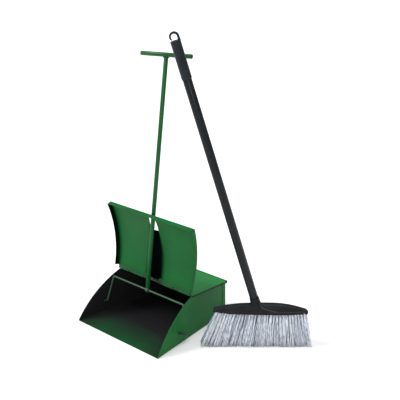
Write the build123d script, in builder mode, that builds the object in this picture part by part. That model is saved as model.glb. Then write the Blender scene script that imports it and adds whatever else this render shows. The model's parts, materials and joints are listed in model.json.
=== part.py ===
"""Lidded lobby dust pan on a long T handle, with its long-handled broom standing beside it.

Frame: origin at the middle of the pan's floor, on the ground. X is the pan's width, Y points from
the mouth to the rear, Z is up. Millimetres. The pan is shown parked, with its lid open.
"""
import os
from math import atan2, cos, degrees, hypot, radians, sin, sqrt

from build123d import *

os.makedirs("parts", exist_ok=True)

# ---------------------------------------------------------------- driving dimensions: dust pan
SHEET = 1.0            # sheet steel
DEPTH = 290.0          # lip to rear wall
LIP_WIDTH = 290.0      # the pan is widest at its lip
REAR_WIDTH = 219.0
LIP_Y = -DEPTH / 2
REAR_Y = DEPTH / 2
MOUTH_BACK = 135.0     # where the side walls reach their full height, from the lip
MOUTH_HEIGHT = 109.0
REAR_HEIGHT = 90.0
WALL_BULGE = 14.0      # rise of the walls' round front edge over its chord
PLATE_SETBACK = 2.4    # room for the hinge strip's foot to swing past the plate's front edge
ROLL_R = 3.0           # rolled rear edge of the top plate

# lid and its hinge
HINGE_Y = LIP_Y + 134.0
HINGE_Z = 114.0
LID_R = 278.0          # inner face of the lid, which closes over the walls' round edges
LID_CENTRE_Y = LIP_Y - 133.8
LID_CENTRE_Z = 198.9
LID_TOP_Z = 295.0
LID_FOOT_Z = 120.0
FLANGE = 11.0          # folded edge on the sides and the free end
FLANGE_FOOT_Z = 124.0
LID_HALF_FOOT = 134.3
LID_HALF_TOP = 149.4
STRIP_FOOT_Z = 112.8
STRIP_TOP_Z = 126.0
STRIP_HALF = 128.0
PIN_R = 1.6
BARREL_R = 3.2
PIN_GAP = 0.05         # running clearance of the hinge
SLOT_HALF_FOOT = 20.5
SLOT_HALF_TOP = 12.0
SLOT_TOP_Z = 289.0
HOOD_FOOT_Z = 117.0
HOOD_TOP_Z = 252.0
HOOD_FOOT_Y = LIP_Y + 158.0
HOOD_TOP_Y = LIP_Y + 150.0

# wire bail and handle
WIRE_R = 2.25
WIRE_BEND = 4.0
BAIL_Y = LIP_Y + 84.0
BAIL_Z = 32.0
CROSS_Y = LIP_Y + 110.5
CROSS_Z = 95.0
BAIL_HALF = 127.0
TAIL_X = 139.6         # the wire's ends lie against the outside of the walls
TAIL_LENGTH = 33.0
TAIL_DROP = 31.7       # degrees below level, pointing to the rear
BAIL_FIT = 0.06        # radial clearance of the wire in its holes
TUBE_R = 5.5
TUBE_WALL = 1.0
ROD_LEAN = 7.8         # degrees, to the rear
ROD_LENGTH = 593.5     # crossbar to the axis of the T grip
TEE_LENGTH = 135.0
TEE_TURN = 18.0        # the T grip is turned about the rod, in degrees
EYE_R = 5.6
EYE_WIDTH = 9.0

# ---------------------------------------------------------------- driving dimensions: broom
BROOM_TURN = 42.0      # degrees from +X to the broom's width
BROOM_X = 269.7
BROOM_Y = LIP_Y + 215.5
HEAD_LEFT = -102.0
HEAD_RIGHT = 124.0
HEAD_LEFT_Z = 86.5     # underside of the block, a little higher at its left end
HEAD_RIGHT_Z = 82.5
BLOCK_HEIGHT = 7.0
BLOCK_HALF = 16.0
BLOCK_END_HALF = 10.5
CAP_INSET = 1.0
CAP_TOP_Z = 109.0
GROOVE_HALF = 2.5
GROOVE_DEPTH = 5.0
ROW_PITCH = 7.2
FOOT_LEFT = -135.0
FOOT_RIGHT = 137.0
FOOT_HALF = 22.0
ROWS = 4
ANCHOR_R = 0.8
HANDLE_LEAN = 16.65    # degrees, to the broom's left
HANDLE_S = 3.4         # where the handle's axis meets the block
HANDLE_Z = 92.0
STICK_R = 10.3
STICK_WALL = 1.2
GRIP_R = 11.8
GRIP_START = 588.0     # along the handle's axis
HANDLE_END = 676.0
HOOK_R = 9.0           # middle of the hanging hook's wire
HOOK_HALF = 2.8
HOOK_DEPTH = 6.0


def save(node, label):
    """Name a finished piece and write its STEP file."""
    node.part.label = label
    export_step(node.part, "parts/" + label + ".step")


# ================================================================ dust pan: box
def half_width(back):
    """Half the pan's outer width at a distance behind the lip."""
    return (LIP_WIDTH + (REAR_WIDTH - LIP_WIDTH) * back / DEPTH) / 2


WALL_RUN = hypot(DEPTH, (LIP_WIDTH - REAR_WIDTH) / 2)
ALONG = WALL_RUN / DEPTH     # lengths along a side wall per length along Y
TOP_SLOPE = (MOUTH_HEIGHT - REAR_HEIGHT) / (DEPTH - MOUTH_BACK)


def side_wall(side, label):
    """One upright side wall; side is 1 on the right and -1 on the left."""
    inset = (LIP_WIDTH - REAR_WIDTH) / 2
    face = Plane(origin=(side * LIP_WIDTH / 2, LIP_Y, 0), x_dir=(-side * inset, DEPTH, 0),
                 z_dir=(DEPTH, side * inset, 0))
    with BuildPart() as wall:
        with BuildSketch(face):
            with BuildLine():
                Polyline((0, SHEET), (WALL_RUN - SHEET, SHEET), (WALL_RUN - SHEET, REAR_HEIGHT),
                         (MOUTH_BACK * ALONG, MOUTH_HEIGHT))
                front = SagittaArc((0, SHEET + 1.5), (MOUTH_BACK * ALONG, MOUTH_HEIGHT), WALL_BULGE)
                Line((0, SHEET), front @ 0)
            make_face()
        extrude(amount=-side * SHEET)
        with BuildSketch(Plane.YZ.offset(side * 100)):
            with Locations((BAIL_Y, BAIL_Z)):
                Circle(WIRE_R + BAIL_FIT)
        extrude(amount=side * 60, mode=Mode.SUBTRACT)
    save(wall, label)


def floor_sheet():
    with BuildPart() as floor:
        with BuildSketch():
            Polygon((-LIP_WIDTH / 2, LIP_Y), (LIP_WIDTH / 2, LIP_Y), (REAR_WIDTH / 2, REAR_Y),
                    (-REAR_WIDTH / 2, REAR_Y), align=None)
        extrude(amount=SHEET)
        lip = floor.edges().filter_by(Axis.X).group_by(Axis.Y)[0].sort_by(Axis.Z)[-1]
        chamfer(lip, length=0.6, length2=2.5)
    save(floor, "floor_sheet")


def rear_wall():
    with BuildPart() as wall:
        with BuildSketch(Plane.XZ.offset(-REAR_Y)):
            with Locations((0, SHEET)):
                Rectangle(REAR_WIDTH - 0.2, REAR_HEIGHT - SHEET, align=(Align.CENTER, Align.MIN))
        extrude(amount=SHEET * 0.99)
    save(wall, "rear_wall")


def top_plate():
    """Sloping cover behind the mouth; its rear edge stops at the roll."""
    tilt = degrees(atan2(-TOP_SLOPE, 1))
    run = hypot(DEPTH - MOUTH_BACK, MOUTH_HEIGHT - REAR_HEIGHT)
    plane = Plane(origin=(0, LIP_Y + MOUTH_BACK, MOUTH_HEIGHT), x_dir=(1, 0, 0),
                  z_dir=(0, -sin(radians(tilt)), cos(radians(tilt))))
    with BuildPart() as plate:
        with BuildSketch(plane):
            Polygon((-half_width(MOUTH_BACK), PLATE_SETBACK), (half_width(MOUTH_BACK), PLATE_SETBACK),
                    (half_width(DEPTH), run - 0.4), (-half_width(DEPTH), run - 0.4), align=None)
        extrude(amount=SHEET)
    save(plate, "top_plate")


def rear_roll():
    """Edge of the top plate rolled round a stiffening wire; its ends show as small knobs."""
    with BuildPart() as roll:
        with BuildSketch(Plane.YZ.offset(-REAR_WIDTH / 2 - 1.5)):
            with Locations((REAR_Y + ROLL_R + 0.05, REAR_HEIGHT - 0.5)):
                Circle(ROLL_R)
        extrude(amount=REAR_WIDTH + 3)
        fillet(roll.edges().filter_by(GeomType.CIRCLE), 0.8)
    save(roll, "rear_roll")


# ================================================================ dust pan: hinge
BODY_BARRELS = ((23, 34), (71, 90))          # from the middle outwards, mirrored
LID_BARRELS = ((35, 70), (91, 126))


def hinge_knuckles():
    """Barrels that stand on the front edge of the top plate."""
    foot_y = HINGE_Y + 4.0
    plate_top = MOUTH_HEIGHT + SHEET - TOP_SLOPE * (foot_y - LIP_Y - MOUTH_BACK)
    with BuildPart() as knuckles:
        for side in (-1, 1):
            for inner, outer in BODY_BARRELS:
                start = min(side * inner, side * outer)
                with BuildSketch(Plane.YZ.offset(start)):
                    with Locations((HINGE_Y, HINGE_Z)):
                        Circle(BARREL_R)
                    with BuildLine():
                        Polyline((HINGE_Y + 1.2, HINGE_Z), (HINGE_Y + 1.2, plate_top + 0.45),
                                 (HINGE_Y + 14, plate_top - 14 * TOP_SLOPE + 0.55),
                                 (HINGE_Y + 14, plate_top - 14 * TOP_SLOPE + 1.5),
                                 (HINGE_Y + BARREL_R, plate_top + 1.2),
                                 (HINGE_Y + BARREL_R, HINGE_Z), close=True)
                    make_face()
                    with Locations((HINGE_Y, HINGE_Z)):
                        Circle(PIN_R + PIN_GAP, mode=Mode.SUBTRACT)
                extrude(amount=outer - inner)
    save(knuckles, "hinge_knuckles")


def hinge_pin():
    with BuildPart() as pin:
        with BuildSketch(Plane.YZ.offset(-STRIP_HALF - 1)):
            with Locations((HINGE_Y, HINGE_Z)):
                Circle(PIN_R)
        extrude(amount=2 * STRIP_HALF + 2)
        chamfer(pin.edges().filter_by(GeomType.CIRCLE), 0.4)
    save(pin, "hinge_pin")


# ================================================================ dust pan: lid
def lid_half(z):
    """Half the lid's outer width at a height, with the lid open."""
    share = (z - LID_FOOT_Z) / (LID_TOP_Z - LID_FOOT_Z)
    return LID_HALF_FOOT + (LID_HALF_TOP - LID_HALF_FOOT) * share


def lid_y(z, radius):
    """Where a cylinder about the lid's centre of curvature stands at a height."""
    return LID_CENTRE_Y + sqrt(radius ** 2 - (z - LID_CENTRE_Z) ** 2)


def lid_arc(radius, low, high):
    """Arc about the lid's centre of curvature between two heights."""
    middle = (low + high) / 2
    return ThreePointArc((lid_y(low, radius), low), (lid_y(middle, radius), middle),
                         (lid_y(high, radius), high))


def lid_section(radius_in, radius_out, low, high, start):
    """Cross-section of a curved band, between two radii and two heights, at a place along X."""
    with BuildSketch(Plane.YZ.offset(start)) as section:
        with BuildLine():
            inner = lid_arc(radius_in, low, high)
            outer = lid_arc(radius_out, low, high)
            Line(inner @ 0, outer @ 0)
            Line(inner @ 1, outer @ 1)
        make_face()
    return section.sketch


def lid_panel():
    """Curved sheet, wider at its free end, flanged on three sides and slotted for the rod."""
    wide = LID_HALF_TOP + 10
    flange_half = lid_half(FLANGE_FOOT_Z) - SHEET
    with BuildPart() as hollow:
        with BuildSketch(Plane.YZ.offset(-wide)):
            with Locations((LID_CENTRE_Y, LID_CENTRE_Z)):
                Circle(LID_R)
        extrude(amount=2 * wide)
        with BuildSketch(Plane.XZ.offset(-LIP_Y)):
            Polygon((-wide, LID_FOOT_Z - 5), (wide, LID_FOOT_Z - 5), (wide, FLANGE_FOOT_Z),
                    (flange_half, FLANGE_FOOT_Z + 3), (LID_HALF_TOP - SHEET, LID_TOP_Z - SHEET),
                    (SHEET - LID_HALF_TOP, LID_TOP_Z - SHEET), (-flange_half, FLANGE_FOOT_Z + 3),
                    (-wide, FLANGE_FOOT_Z), align=None)
        extrude(amount=-2 * DEPTH, both=True, mode=Mode.INTERSECT)
    with BuildPart() as panel:
        band = lid_section(LID_R - FLANGE, LID_R + SHEET, LID_FOOT_Z, LID_TOP_Z, -wide)
        extrude(band, amount=2 * wide)
        with BuildSketch(Plane.XZ.offset(-LIP_Y)):
            Polygon((-lid_half(LID_FOOT_Z), LID_FOOT_Z), (lid_half(LID_FOOT_Z), LID_FOOT_Z),
                    (LID_HALF_TOP, LID_TOP_Z), (-LID_HALF_TOP, LID_TOP_Z), align=None)
        extrude(amount=-2 * DEPTH, both=True, mode=Mode.INTERSECT)
        add(hollow.part, mode=Mode.SUBTRACT)
        with BuildSketch(Plane.XZ.offset(-LIP_Y)):
            with BuildLine():
                crown = ThreePointArc((-SLOT_HALF_TOP, SLOT_TOP_Z - SLOT_HALF_TOP), (0, SLOT_TOP_Z),
                                      (SLOT_HALF_TOP, SLOT_TOP_Z - SLOT_HALF_TOP))
                Polyline(crown @ 0, (-SLOT_HALF_FOOT, LID_FOOT_Z - 1),
                         (SLOT_HALF_FOOT, LID_FOOT_Z - 1), crown @ 1)
            make_face()
        extrude(amount=-2 * DEPTH, both=True, mode=Mode.SUBTRACT)
    save(panel, "lid_panel")


def hood_ends(grow, foot_z, top_z):
    """Sections of a tapered trough with a round back, larger at its foot; grow makes the skin."""
    ends = ((foot_z, SLOT_HALF_FOOT, HOOD_FOOT_Y), (top_z, SLOT_HALF_TOP + 1.2, HOOD_TOP_Y))
    sections = []
    for z, half, crest in ends:
        width = half + grow
        back = crest - half
        with BuildSketch(Plane.XY.offset(z)) as section:
            with BuildLine():
                crown = ThreePointArc((-width, back), (0, back + width), (width, back))
                Polyline(crown @ 0, (-width, LIP_Y + 100), (width, LIP_Y + 100), crown @ 1)
            make_face()
        sections.append(section.sketch.faces()[0])
    return sections


def lid_hood():
    """Trough on the lid's back that closes the slot and leaves the rod's hole open at its top."""
    with BuildPart() as inside:
        loft(hood_ends(0.2, HOOD_FOOT_Z + SHEET, HOOD_TOP_Z + 1))
    with BuildPart() as sheet_side:
        with BuildSketch(Plane.YZ.offset(-60)):
            with Locations((LID_CENTRE_Y, LID_CENTRE_Z)):
                Circle(LID_R + SHEET)
        extrude(amount=120)
    with BuildPart() as hood:
        loft(hood_ends(0.2 + SHEET, HOOD_FOOT_Z, HOOD_TOP_Z))
        add(inside.part, mode=Mode.SUBTRACT)
        add(sheet_side.part, mode=Mode.SUBTRACT)
    save(hood, "lid_hood")


def hinge_strip(side, label):
    """Leaf on the inner face of the lid with its own barrels; side is 1 on the right."""
    with BuildPart() as strip:
        start = min(side * SLOT_HALF_FOOT, side * STRIP_HALF)
        leaf = lid_section(LID_R - SHEET, LID_R, STRIP_FOOT_Z, STRIP_TOP_Z, start)
        extrude(leaf, amount=STRIP_HALF - SLOT_HALF_FOOT)
        for inner, outer in BODY_BARRELS:
            near = min(side * inner, side * outer) - 0.5
            with BuildSketch(Plane.XZ.offset(-LIP_Y)):
                with Locations((near, STRIP_FOOT_Z - 1)):
                    Rectangle(outer - inner + 1, 6.5, align=(Align.MIN, Align.MIN))
            extrude(amount=-2 * DEPTH, both=True, mode=Mode.SUBTRACT)
        for inner, outer in LID_BARRELS:
            with BuildSketch(Plane.YZ.offset(min(side * inner, side * outer))):
                with Locations((HINGE_Y, HINGE_Z)):
                    Circle(BARREL_R)
            extrude(amount=outer - inner)
        with BuildSketch(Plane.YZ.offset(-STRIP_HALF - 5)):
            with Locations((HINGE_Y, HINGE_Z)):
                Circle(PIN_R + PIN_GAP)
        extrude(amount=2 * STRIP_HALF + 10, mode=Mode.SUBTRACT)
    save(strip, label)


# ================================================================ dust pan: bail and handle
def bail_wire():
    """Wire bow: crossbar, two arms, an end through each side wall and a tail against its outside."""
    tail_y = BAIL_Y + TAIL_LENGTH * cos(radians(TAIL_DROP))
    tail_z = BAIL_Z - TAIL_LENGTH * sin(radians(TAIL_DROP))
    half = ((TAIL_X, tail_y, tail_z), (TAIL_X, BAIL_Y, BAIL_Z), (BAIL_HALF, BAIL_Y, BAIL_Z),
            (BAIL_HALF, CROSS_Y, CROSS_Z))
    points = list(half) + [(-x, y, z) for x, y, z in reversed(half)]
    with BuildPart() as wire:
        with BuildLine() as path:
            FilletPolyline(*points, radius=WIRE_BEND)
        with BuildSketch(Plane(origin=path.line @ 0, z_dir=path.line % 0)):
            Circle(WIRE_R)
        sweep(path=path.line)
    save(wire, "bail_wire")


LEAN = radians(ROD_LEAN)
ROD_AXIS = (0, sin(LEAN), cos(LEAN))


def rod_plane(distance):
    """Plane across the rod at a distance above the crossbar."""
    return Plane(origin=(0, CROSS_Y + distance * ROD_AXIS[1], CROSS_Z + distance * ROD_AXIS[2]),
                 x_dir=(1, 0, 0), z_dir=ROD_AXIS)


def tee_plane():
    """Plane at the rod's top whose normal is the T grip's axis."""
    turn = radians(TEE_TURN)
    return Plane(origin=rod_plane(ROD_LENGTH).origin, z_dir=(cos(turn), sin(turn), 0))


def handle_rod():
    with BuildPart() as rod:
        with BuildSketch(rod_plane(7.0)):
            Circle(TUBE_R)
            Circle(TUBE_R - TUBE_WALL, mode=Mode.SUBTRACT)
        extrude(amount=ROD_LENGTH - 7.0)
        with BuildSketch(tee_plane()):
            Circle(TUBE_R)
        extrude(amount=30, both=True, mode=Mode.SUBTRACT)
    save(rod, "handle_rod")


def handle_eye():
    """Flattened end that turns on the bail's crossbar, with a shank inside the rod."""
    with BuildPart() as eye:
        with BuildSketch(Plane.YZ.offset(-EYE_WIDTH / 2)):
            with Locations((CROSS_Y, CROSS_Z)):
                Circle(EYE_R)
        extrude(amount=EYE_WIDTH)
        with BuildSketch(rod_plane(3.0)):
            Circle(TUBE_R - TUBE_WALL - 0.05)
        extrude(amount=22)
        with BuildSketch(Plane.YZ.offset(-20)):
            with Locations((CROSS_Y, CROSS_Z)):
                Circle(WIRE_R + BAIL_FIT)
        extrude(amount=40, mode=Mode.SUBTRACT)
    save(eye, "handle_eye")


def tee_grip():
    with BuildPart() as grip:
        with BuildSketch(tee_plane()):
            Circle(TUBE_R)
            Circle(TUBE_R - TUBE_WALL, mode=Mode.SUBTRACT)
        extrude(amount=TEE_LENGTH / 2, both=True)
    save(grip, "tee_grip")


def tee_weld():
    """Weld fillet between the rod and the T grip."""
    with BuildPart() as weld:
        with BuildSketch(rod_plane(ROD_LENGTH - TUBE_R - 5.0)):
            Circle(TUBE_R + 0.3)
        with BuildSketch(rod_plane(ROD_LENGTH - TUBE_R + 1.5)):
            Circle(TUBE_R + 2.6)
        loft()
        with BuildSketch(rod_plane(ROD_LENGTH - 40)):
            Circle(TUBE_R)
        extrude(amount=60, mode=Mode.SUBTRACT)
        with BuildSketch(tee_plane()):
            Circle(TUBE_R)
        extrude(amount=30, both=True, mode=Mode.SUBTRACT)
    save(weld, "tee_weld")


# ================================================================ broom: planes
TURN = radians(BROOM_TURN)
RIGHT = Vector(cos(TURN), sin(TURN), 0)
BACK = Vector(-sin(TURN), cos(TURN), 0)
BASE = Vector(BROOM_X, BROOM_Y, 0)
TILT = radians(HANDLE_LEAN)
STICK_AXIS = RIGHT * -sin(TILT) + Vector(0, 0, 1) * cos(TILT)
STICK_SIDE = RIGHT * cos(TILT) + Vector(0, 0, 1) * sin(TILT)
FRONT = Plane(origin=BASE, x_dir=RIGHT, z_dir=BACK * -1)      # x across the broom, y up
SIDE = Plane(origin=BASE, x_dir=BACK, z_dir=RIGHT)            # x to the back, y up


def stick_plane(distance):
    """Plane across the broom handle at a distance along its axis."""
    foot = BASE + RIGHT * HANDLE_S + Vector(0, 0, HANDLE_Z)
    return Plane(origin=foot + STICK_AXIS * distance, x_dir=STICK_SIDE, z_dir=STICK_AXIS)


# ================================================================ broom: head
def head_plan(inset):
    """Outline of the head seen from above: long, and narrower at its ends."""
    left = HEAD_LEFT + inset
    right = HEAD_RIGHT - inset
    middle = (left + right) / 2
    end = BLOCK_END_HALF - inset
    wide = BLOCK_HALF - inset
    with BuildSketch(Plane(origin=BASE, x_dir=RIGHT, z_dir=(0, 0, 1))) as plan:
        with BuildLine():
            for y in (1, -1):
                Spline((left, y * end), (left * 0.55 + middle * 0.45, y * (wide - 1.2)),
                       (middle, y * wide), (right * 0.55 + middle * 0.45, y * (wide - 1.2)),
                       (right, y * end))
            ThreePointArc((left, end), (left - 2.5, 0), (left, -end))
            ThreePointArc((right, end), (right + 2.5, 0), (right, -end))
        make_face()
    return plan.sketch


def underside(s):
    """Height of the block's underside along the head."""
    return HEAD_LEFT_Z + (HEAD_RIGHT_Z - HEAD_LEFT_Z) * (s - HEAD_LEFT) / (HEAD_RIGHT - HEAD_LEFT)


def row_centre(row, pitch):
    return (row - (ROWS - 1) / 2) * pitch


def tuft_block():
    """Moulded block with one groove for each row of bristles."""
    low, high = HEAD_LEFT - 10, HEAD_RIGHT + 10
    with BuildPart() as block:
        extrude(head_plan(0), amount=200)
        with BuildSketch(FRONT):
            Polygon((low, underside(low)), (high, underside(high)), (high, underside(high) + BLOCK_HEIGHT),
                    (low, underside(low) + BLOCK_HEIGHT), align=None)
        extrude(amount=60, both=True, mode=Mode.INTERSECT)
        for row in range(ROWS):
            left, right = HEAD_LEFT + 6, HEAD_RIGHT - 6
            across = Plane(origin=BASE + BACK * row_centre(row, ROW_PITCH), x_dir=RIGHT, z_dir=BACK * -1)
            with BuildSketch(across):
                Polygon((left, underside(left) - 3), (right, underside(right) - 3),
                        (right, underside(right) + GROOVE_DEPTH), (left, underside(left) + GROOVE_DEPTH),
                        align=None)
            extrude(amount=GROOVE_HALF, both=True, mode=Mode.SUBTRACT)
    save(block, "tuft_block")


def brush_cap():
    """Domed cover on the block, highest at the handle."""
    left, right = HEAD_LEFT - 4, HEAD_RIGHT + 4
    left_z = underside(left) + BLOCK_HEIGHT
    right_z = underside(right) + BLOCK_HEIGHT
    shoulder_z = underside(0) + BLOCK_HEIGHT + 2
    with BuildPart() as cap:
        extrude(head_plan(CAP_INSET), amount=200)
        with BuildSketch(FRONT):
            with BuildLine():
                foot = Line((left, left_z), (right, right_z))
                crest = Spline((left + 2, left_z + 2.5), (-74, 102.5), (HANDLE_S, CAP_TOP_Z),
                               (55, 107.8), (97, 100.5), (right - 2, right_z + 2.5))
                Line(foot @ 0, crest @ 0)
                Line(foot @ 1, crest @ 1)
            make_face()
        extrude(amount=60, both=True, mode=Mode.INTERSECT)
        with BuildSketch(SIDE):
            with BuildLine():
                ThreePointArc((-BLOCK_HALF, shoulder_z), (0, CAP_TOP_Z + 0.5), (BLOCK_HALF, shoulder_z))
                Polyline((BLOCK_HALF, shoulder_z), (BLOCK_HALF, 60), (-BLOCK_HALF, 60),
                         (-BLOCK_HALF, shoulder_z))
            make_face()
        extrude(amount=200, both=True, mode=Mode.INTERSECT)
        with BuildSketch(stick_plane(-12)):
            Circle(STICK_R + 2.2)
        extrude(amount=60, mode=Mode.SUBTRACT)
    save(cap, "brush_cap")


def socket_neck():
    """Socket moulded into the head, leaning with the handle."""
    with BuildPart() as below:
        with BuildSketch(FRONT):
            Polygon((-60, 0), (60, 0), (60, underside(60) + BLOCK_HEIGHT + 0.02),
                    (-60, underside(-60) + BLOCK_HEIGHT + 0.02), align=None)
        extrude(amount=60, both=True)
    with BuildPart() as neck:
        with BuildSketch(stick_plane(-12)):
            Circle(STICK_R + 2.15)
        with BuildSketch(stick_plane(34)):
            Circle(STICK_R + 1.1)
        loft()
        with BuildSketch(stick_plane(3)):
            Circle(STICK_R + 0.02)
        extrude(amount=60, mode=Mode.SUBTRACT)
        add(below.part, mode=Mode.SUBTRACT)
        fillet(neck.edges().filter_by(GeomType.CIRCLE).sort_by(Axis.Z)[-1], 0.4)
    save(neck, "socket_neck")


def bristle_row(row):
    """One row of bristles: held in its groove, spread over the floor."""
    top = row_centre(row, ROW_PITCH)
    foot = row_centre(row, FOOT_HALF * 2 / ROWS)
    foot_half = FOOT_HALF / ROWS - 0.15
    held_half = GROOVE_HALF - 0.05
    left, right = HEAD_LEFT + 6.2, HEAD_RIGHT - 6.2
    held = GROOVE_DEPTH - 2 * ANCHOR_R - 0.2
    with BuildPart() as bristles:
        with BuildSketch(FRONT):
            Polygon((left, underside(left) + held), (left, underside(left)), (FOOT_LEFT, 0), (FOOT_RIGHT, 0),
                    (right, underside(right)), (right, underside(right) + held), align=None)
        extrude(amount=60, both=True)
        with BuildSketch(SIDE):
            Polygon((top - held_half, 120), (top - held_half, HEAD_RIGHT_Z - 2), (foot - foot_half, 0),
                    (foot + foot_half, 0), (top + held_half, HEAD_RIGHT_Z - 2), (top + held_half, 120),
                    align=None)
        extrude(amount=200, both=True, mode=Mode.INTERSECT)
    save(bristles, "bristle_row_" + str(row + 1))


def anchor_wires():
    """Wire in the bottom of each groove that the bristles are folded over."""
    left, right = HEAD_LEFT + 8, HEAD_RIGHT - 8
    rise = GROOVE_DEPTH - ANCHOR_R - 0.05
    start = Vector(left, underside(left) + rise)
    end = Vector(right, underside(right) + rise)
    with BuildPart() as wires:
        for row in range(ROWS):
            offset = BASE + BACK * row_centre(row, ROW_PITCH)
            first = offset + RIGHT * start.X + Vector(0, 0, start.Y)
            last = offset + RIGHT * end.X + Vector(0, 0, end.Y)
            with BuildSketch(Plane(origin=first, z_dir=last - first)):
                Circle(ANCHOR_R)
            extrude(amount=(last - first).length)
    save(wires, "anchor_wires")


# ================================================================ broom: handle
def broom_stick():
    """Coated steel tube."""
    with BuildPart() as stick:
        with BuildSketch(stick_plane(4)):
            Circle(STICK_R)
            Circle(STICK_R - STICK_WALL, mode=Mode.SUBTRACT)
        extrude(amount=HANDLE_END - 8 - 4)
    save(stick, "broom_stick")


def stick_ferrule():
    """Plug pressed into the tube's foot, where the tube sits in the socket."""
    with BuildPart() as ferrule:
        with BuildSketch(stick_plane(4.5)):
            Circle(STICK_R - STICK_WALL - 0.02)
            Circle(5, mode=Mode.SUBTRACT)
        extrude(amount=30)
    save(ferrule, "stick_ferrule")


def grip_sleeve():
    """Sleeve on the upper end of the tube, with a rounded shoulder."""
    with BuildPart() as sleeve:
        with BuildSketch(stick_plane(GRIP_START)):
            Circle(GRIP_R)
        extrude(amount=HANDLE_END - 4 - GRIP_START)
        fillet(sleeve.edges().filter_by(GeomType.CIRCLE).sort_by(Axis.Z)[0], 1.4)
        with BuildSketch(stick_plane(GRIP_START - 5)):
            Circle(STICK_R + 0.02)
        extrude(amount=HANDLE_END, mode=Mode.SUBTRACT)
    save(sleeve, "grip_sleeve")


def hanger_hook():
    """End cap with a hanging hook that rises from its right edge and curls over to the left."""
    face = Plane(origin=stick_plane(HANDLE_END).origin, x_dir=STICK_SIDE, z_dir=BACK * -1)
    stem = GRIP_R - HOOK_HALF
    bend = stem - HOOK_R
    rise = 8.5
    with BuildPart() as hook:
        with BuildSketch(stick_plane(HANDLE_END - 4)):
            Circle(GRIP_R)
        extrude(amount=4)
        fillet(hook.edges().filter_by(GeomType.CIRCLE).sort_by(Axis.Z)[-1], 1.0)
        with BuildSketch(stick_plane(HANDLE_END - 30)):
            Circle(STICK_R - STICK_WALL - 0.02)
        extrude(amount=26.5)
        with BuildSketch(face):
            with BuildLine():
                Line((stem, -3), (stem, rise))
                curl = CenterArc((bend, rise), HOOK_R, 0, 195)
                Line(curl @ 1, (curl @ 1) + (curl % 1) * 3.0)
            trace(line_width=2 * HOOK_HALF)
        extrude(amount=HOOK_DEPTH / 2, both=True)
    save(hook, "hanger_hook")


def main():
    side_wall(-1, "left_side_wall")
    side_wall(1, "right_side_wall")
    floor_sheet()
    rear_wall()
    top_plate()
    rear_roll()
    hinge_knuckles()
    hinge_pin()
    lid_panel()
    lid_hood()
    hinge_strip(-1, "hinge_strip_left")
    hinge_strip(1, "hinge_strip_right")
    bail_wire()
    handle_rod()
    handle_eye()
    tee_grip()
    tee_weld()
    tuft_block()
    brush_cap()
    socket_neck()
    for row in range(ROWS):
        bristle_row(row)
    anchor_wires()
    broom_stick()
    stick_ferrule()
    grip_sleeve()
    hanger_hook()


main()
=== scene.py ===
"""Looks of the lidded dust pan and its broom: green enamelled steel, black plastic, grey bristles."""
import json
import math
import random

import bmesh
import bpy
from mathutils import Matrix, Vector


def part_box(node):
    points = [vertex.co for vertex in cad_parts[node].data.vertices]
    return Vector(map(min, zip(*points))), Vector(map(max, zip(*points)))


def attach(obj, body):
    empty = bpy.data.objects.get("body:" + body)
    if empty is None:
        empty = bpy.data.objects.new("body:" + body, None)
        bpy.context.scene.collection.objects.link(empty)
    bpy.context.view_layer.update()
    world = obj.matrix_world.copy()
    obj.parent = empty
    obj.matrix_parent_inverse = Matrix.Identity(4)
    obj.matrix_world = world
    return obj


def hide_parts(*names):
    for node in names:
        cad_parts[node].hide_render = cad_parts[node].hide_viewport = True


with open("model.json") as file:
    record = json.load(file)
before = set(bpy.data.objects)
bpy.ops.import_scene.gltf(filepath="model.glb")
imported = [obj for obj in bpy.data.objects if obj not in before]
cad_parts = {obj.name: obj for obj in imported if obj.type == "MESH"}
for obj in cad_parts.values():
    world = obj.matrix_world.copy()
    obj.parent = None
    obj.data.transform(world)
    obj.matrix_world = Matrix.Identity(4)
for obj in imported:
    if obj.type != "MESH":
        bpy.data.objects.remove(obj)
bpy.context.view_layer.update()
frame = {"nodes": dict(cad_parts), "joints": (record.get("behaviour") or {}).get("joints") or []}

MM = 0.001
JOINTS = {joint["name"]: joint for joint in frame["joints"]}


# ================================================================ places taken from the frame
def joint_place(name):
    return Vector(JOINTS[name]["pos_m"])


def middle(node):
    low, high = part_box(node)
    return (low + high) / 2


FLOOR_LOW, FLOOR_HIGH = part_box("floor_sheet")
REAR_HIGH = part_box("rear_wall")[1]
LID_LOW, LID_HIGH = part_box("lid_panel")
HOOD_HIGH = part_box("lid_hood")[1]
ROLL_LOW, ROLL_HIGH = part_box("rear_roll")
ROLL_MIDDLE = middle("rear_roll")
ROLL_R = (ROLL_HIGH.z - ROLL_LOW.z) / 2
BAIL_PIVOT = joint_place("bail_swing")
CROSSBAR = joint_place("rod_eye")

# ---------------------------------------------------------------- pan sheet metal
SHEET = 1.0 * MM
LIP_Y = FLOOR_LOW.y
REAR_Y = FLOOR_HIGH.y
LIP_HALF = FLOOR_HIGH.x
REAR_HALF = REAR_HIGH.x + 0.1 * MM
MOUTH_BACK = 135 * MM        # from the lip to where the walls reach full height
MOUTH_HEIGHT = 109 * MM
REAR_HEIGHT = REAR_HIGH.z
LIP_RISE = 2.5 * MM
WALL_BULGE = 14 * MM
FOLD_R = 2.0 * MM
TOP_SLOPE = (MOUTH_HEIGHT - REAR_HEIGHT) / (REAR_Y - LIP_Y - MOUTH_BACK)
PAN_INSIDE = Vector((0, 0, 50 * MM))

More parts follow.
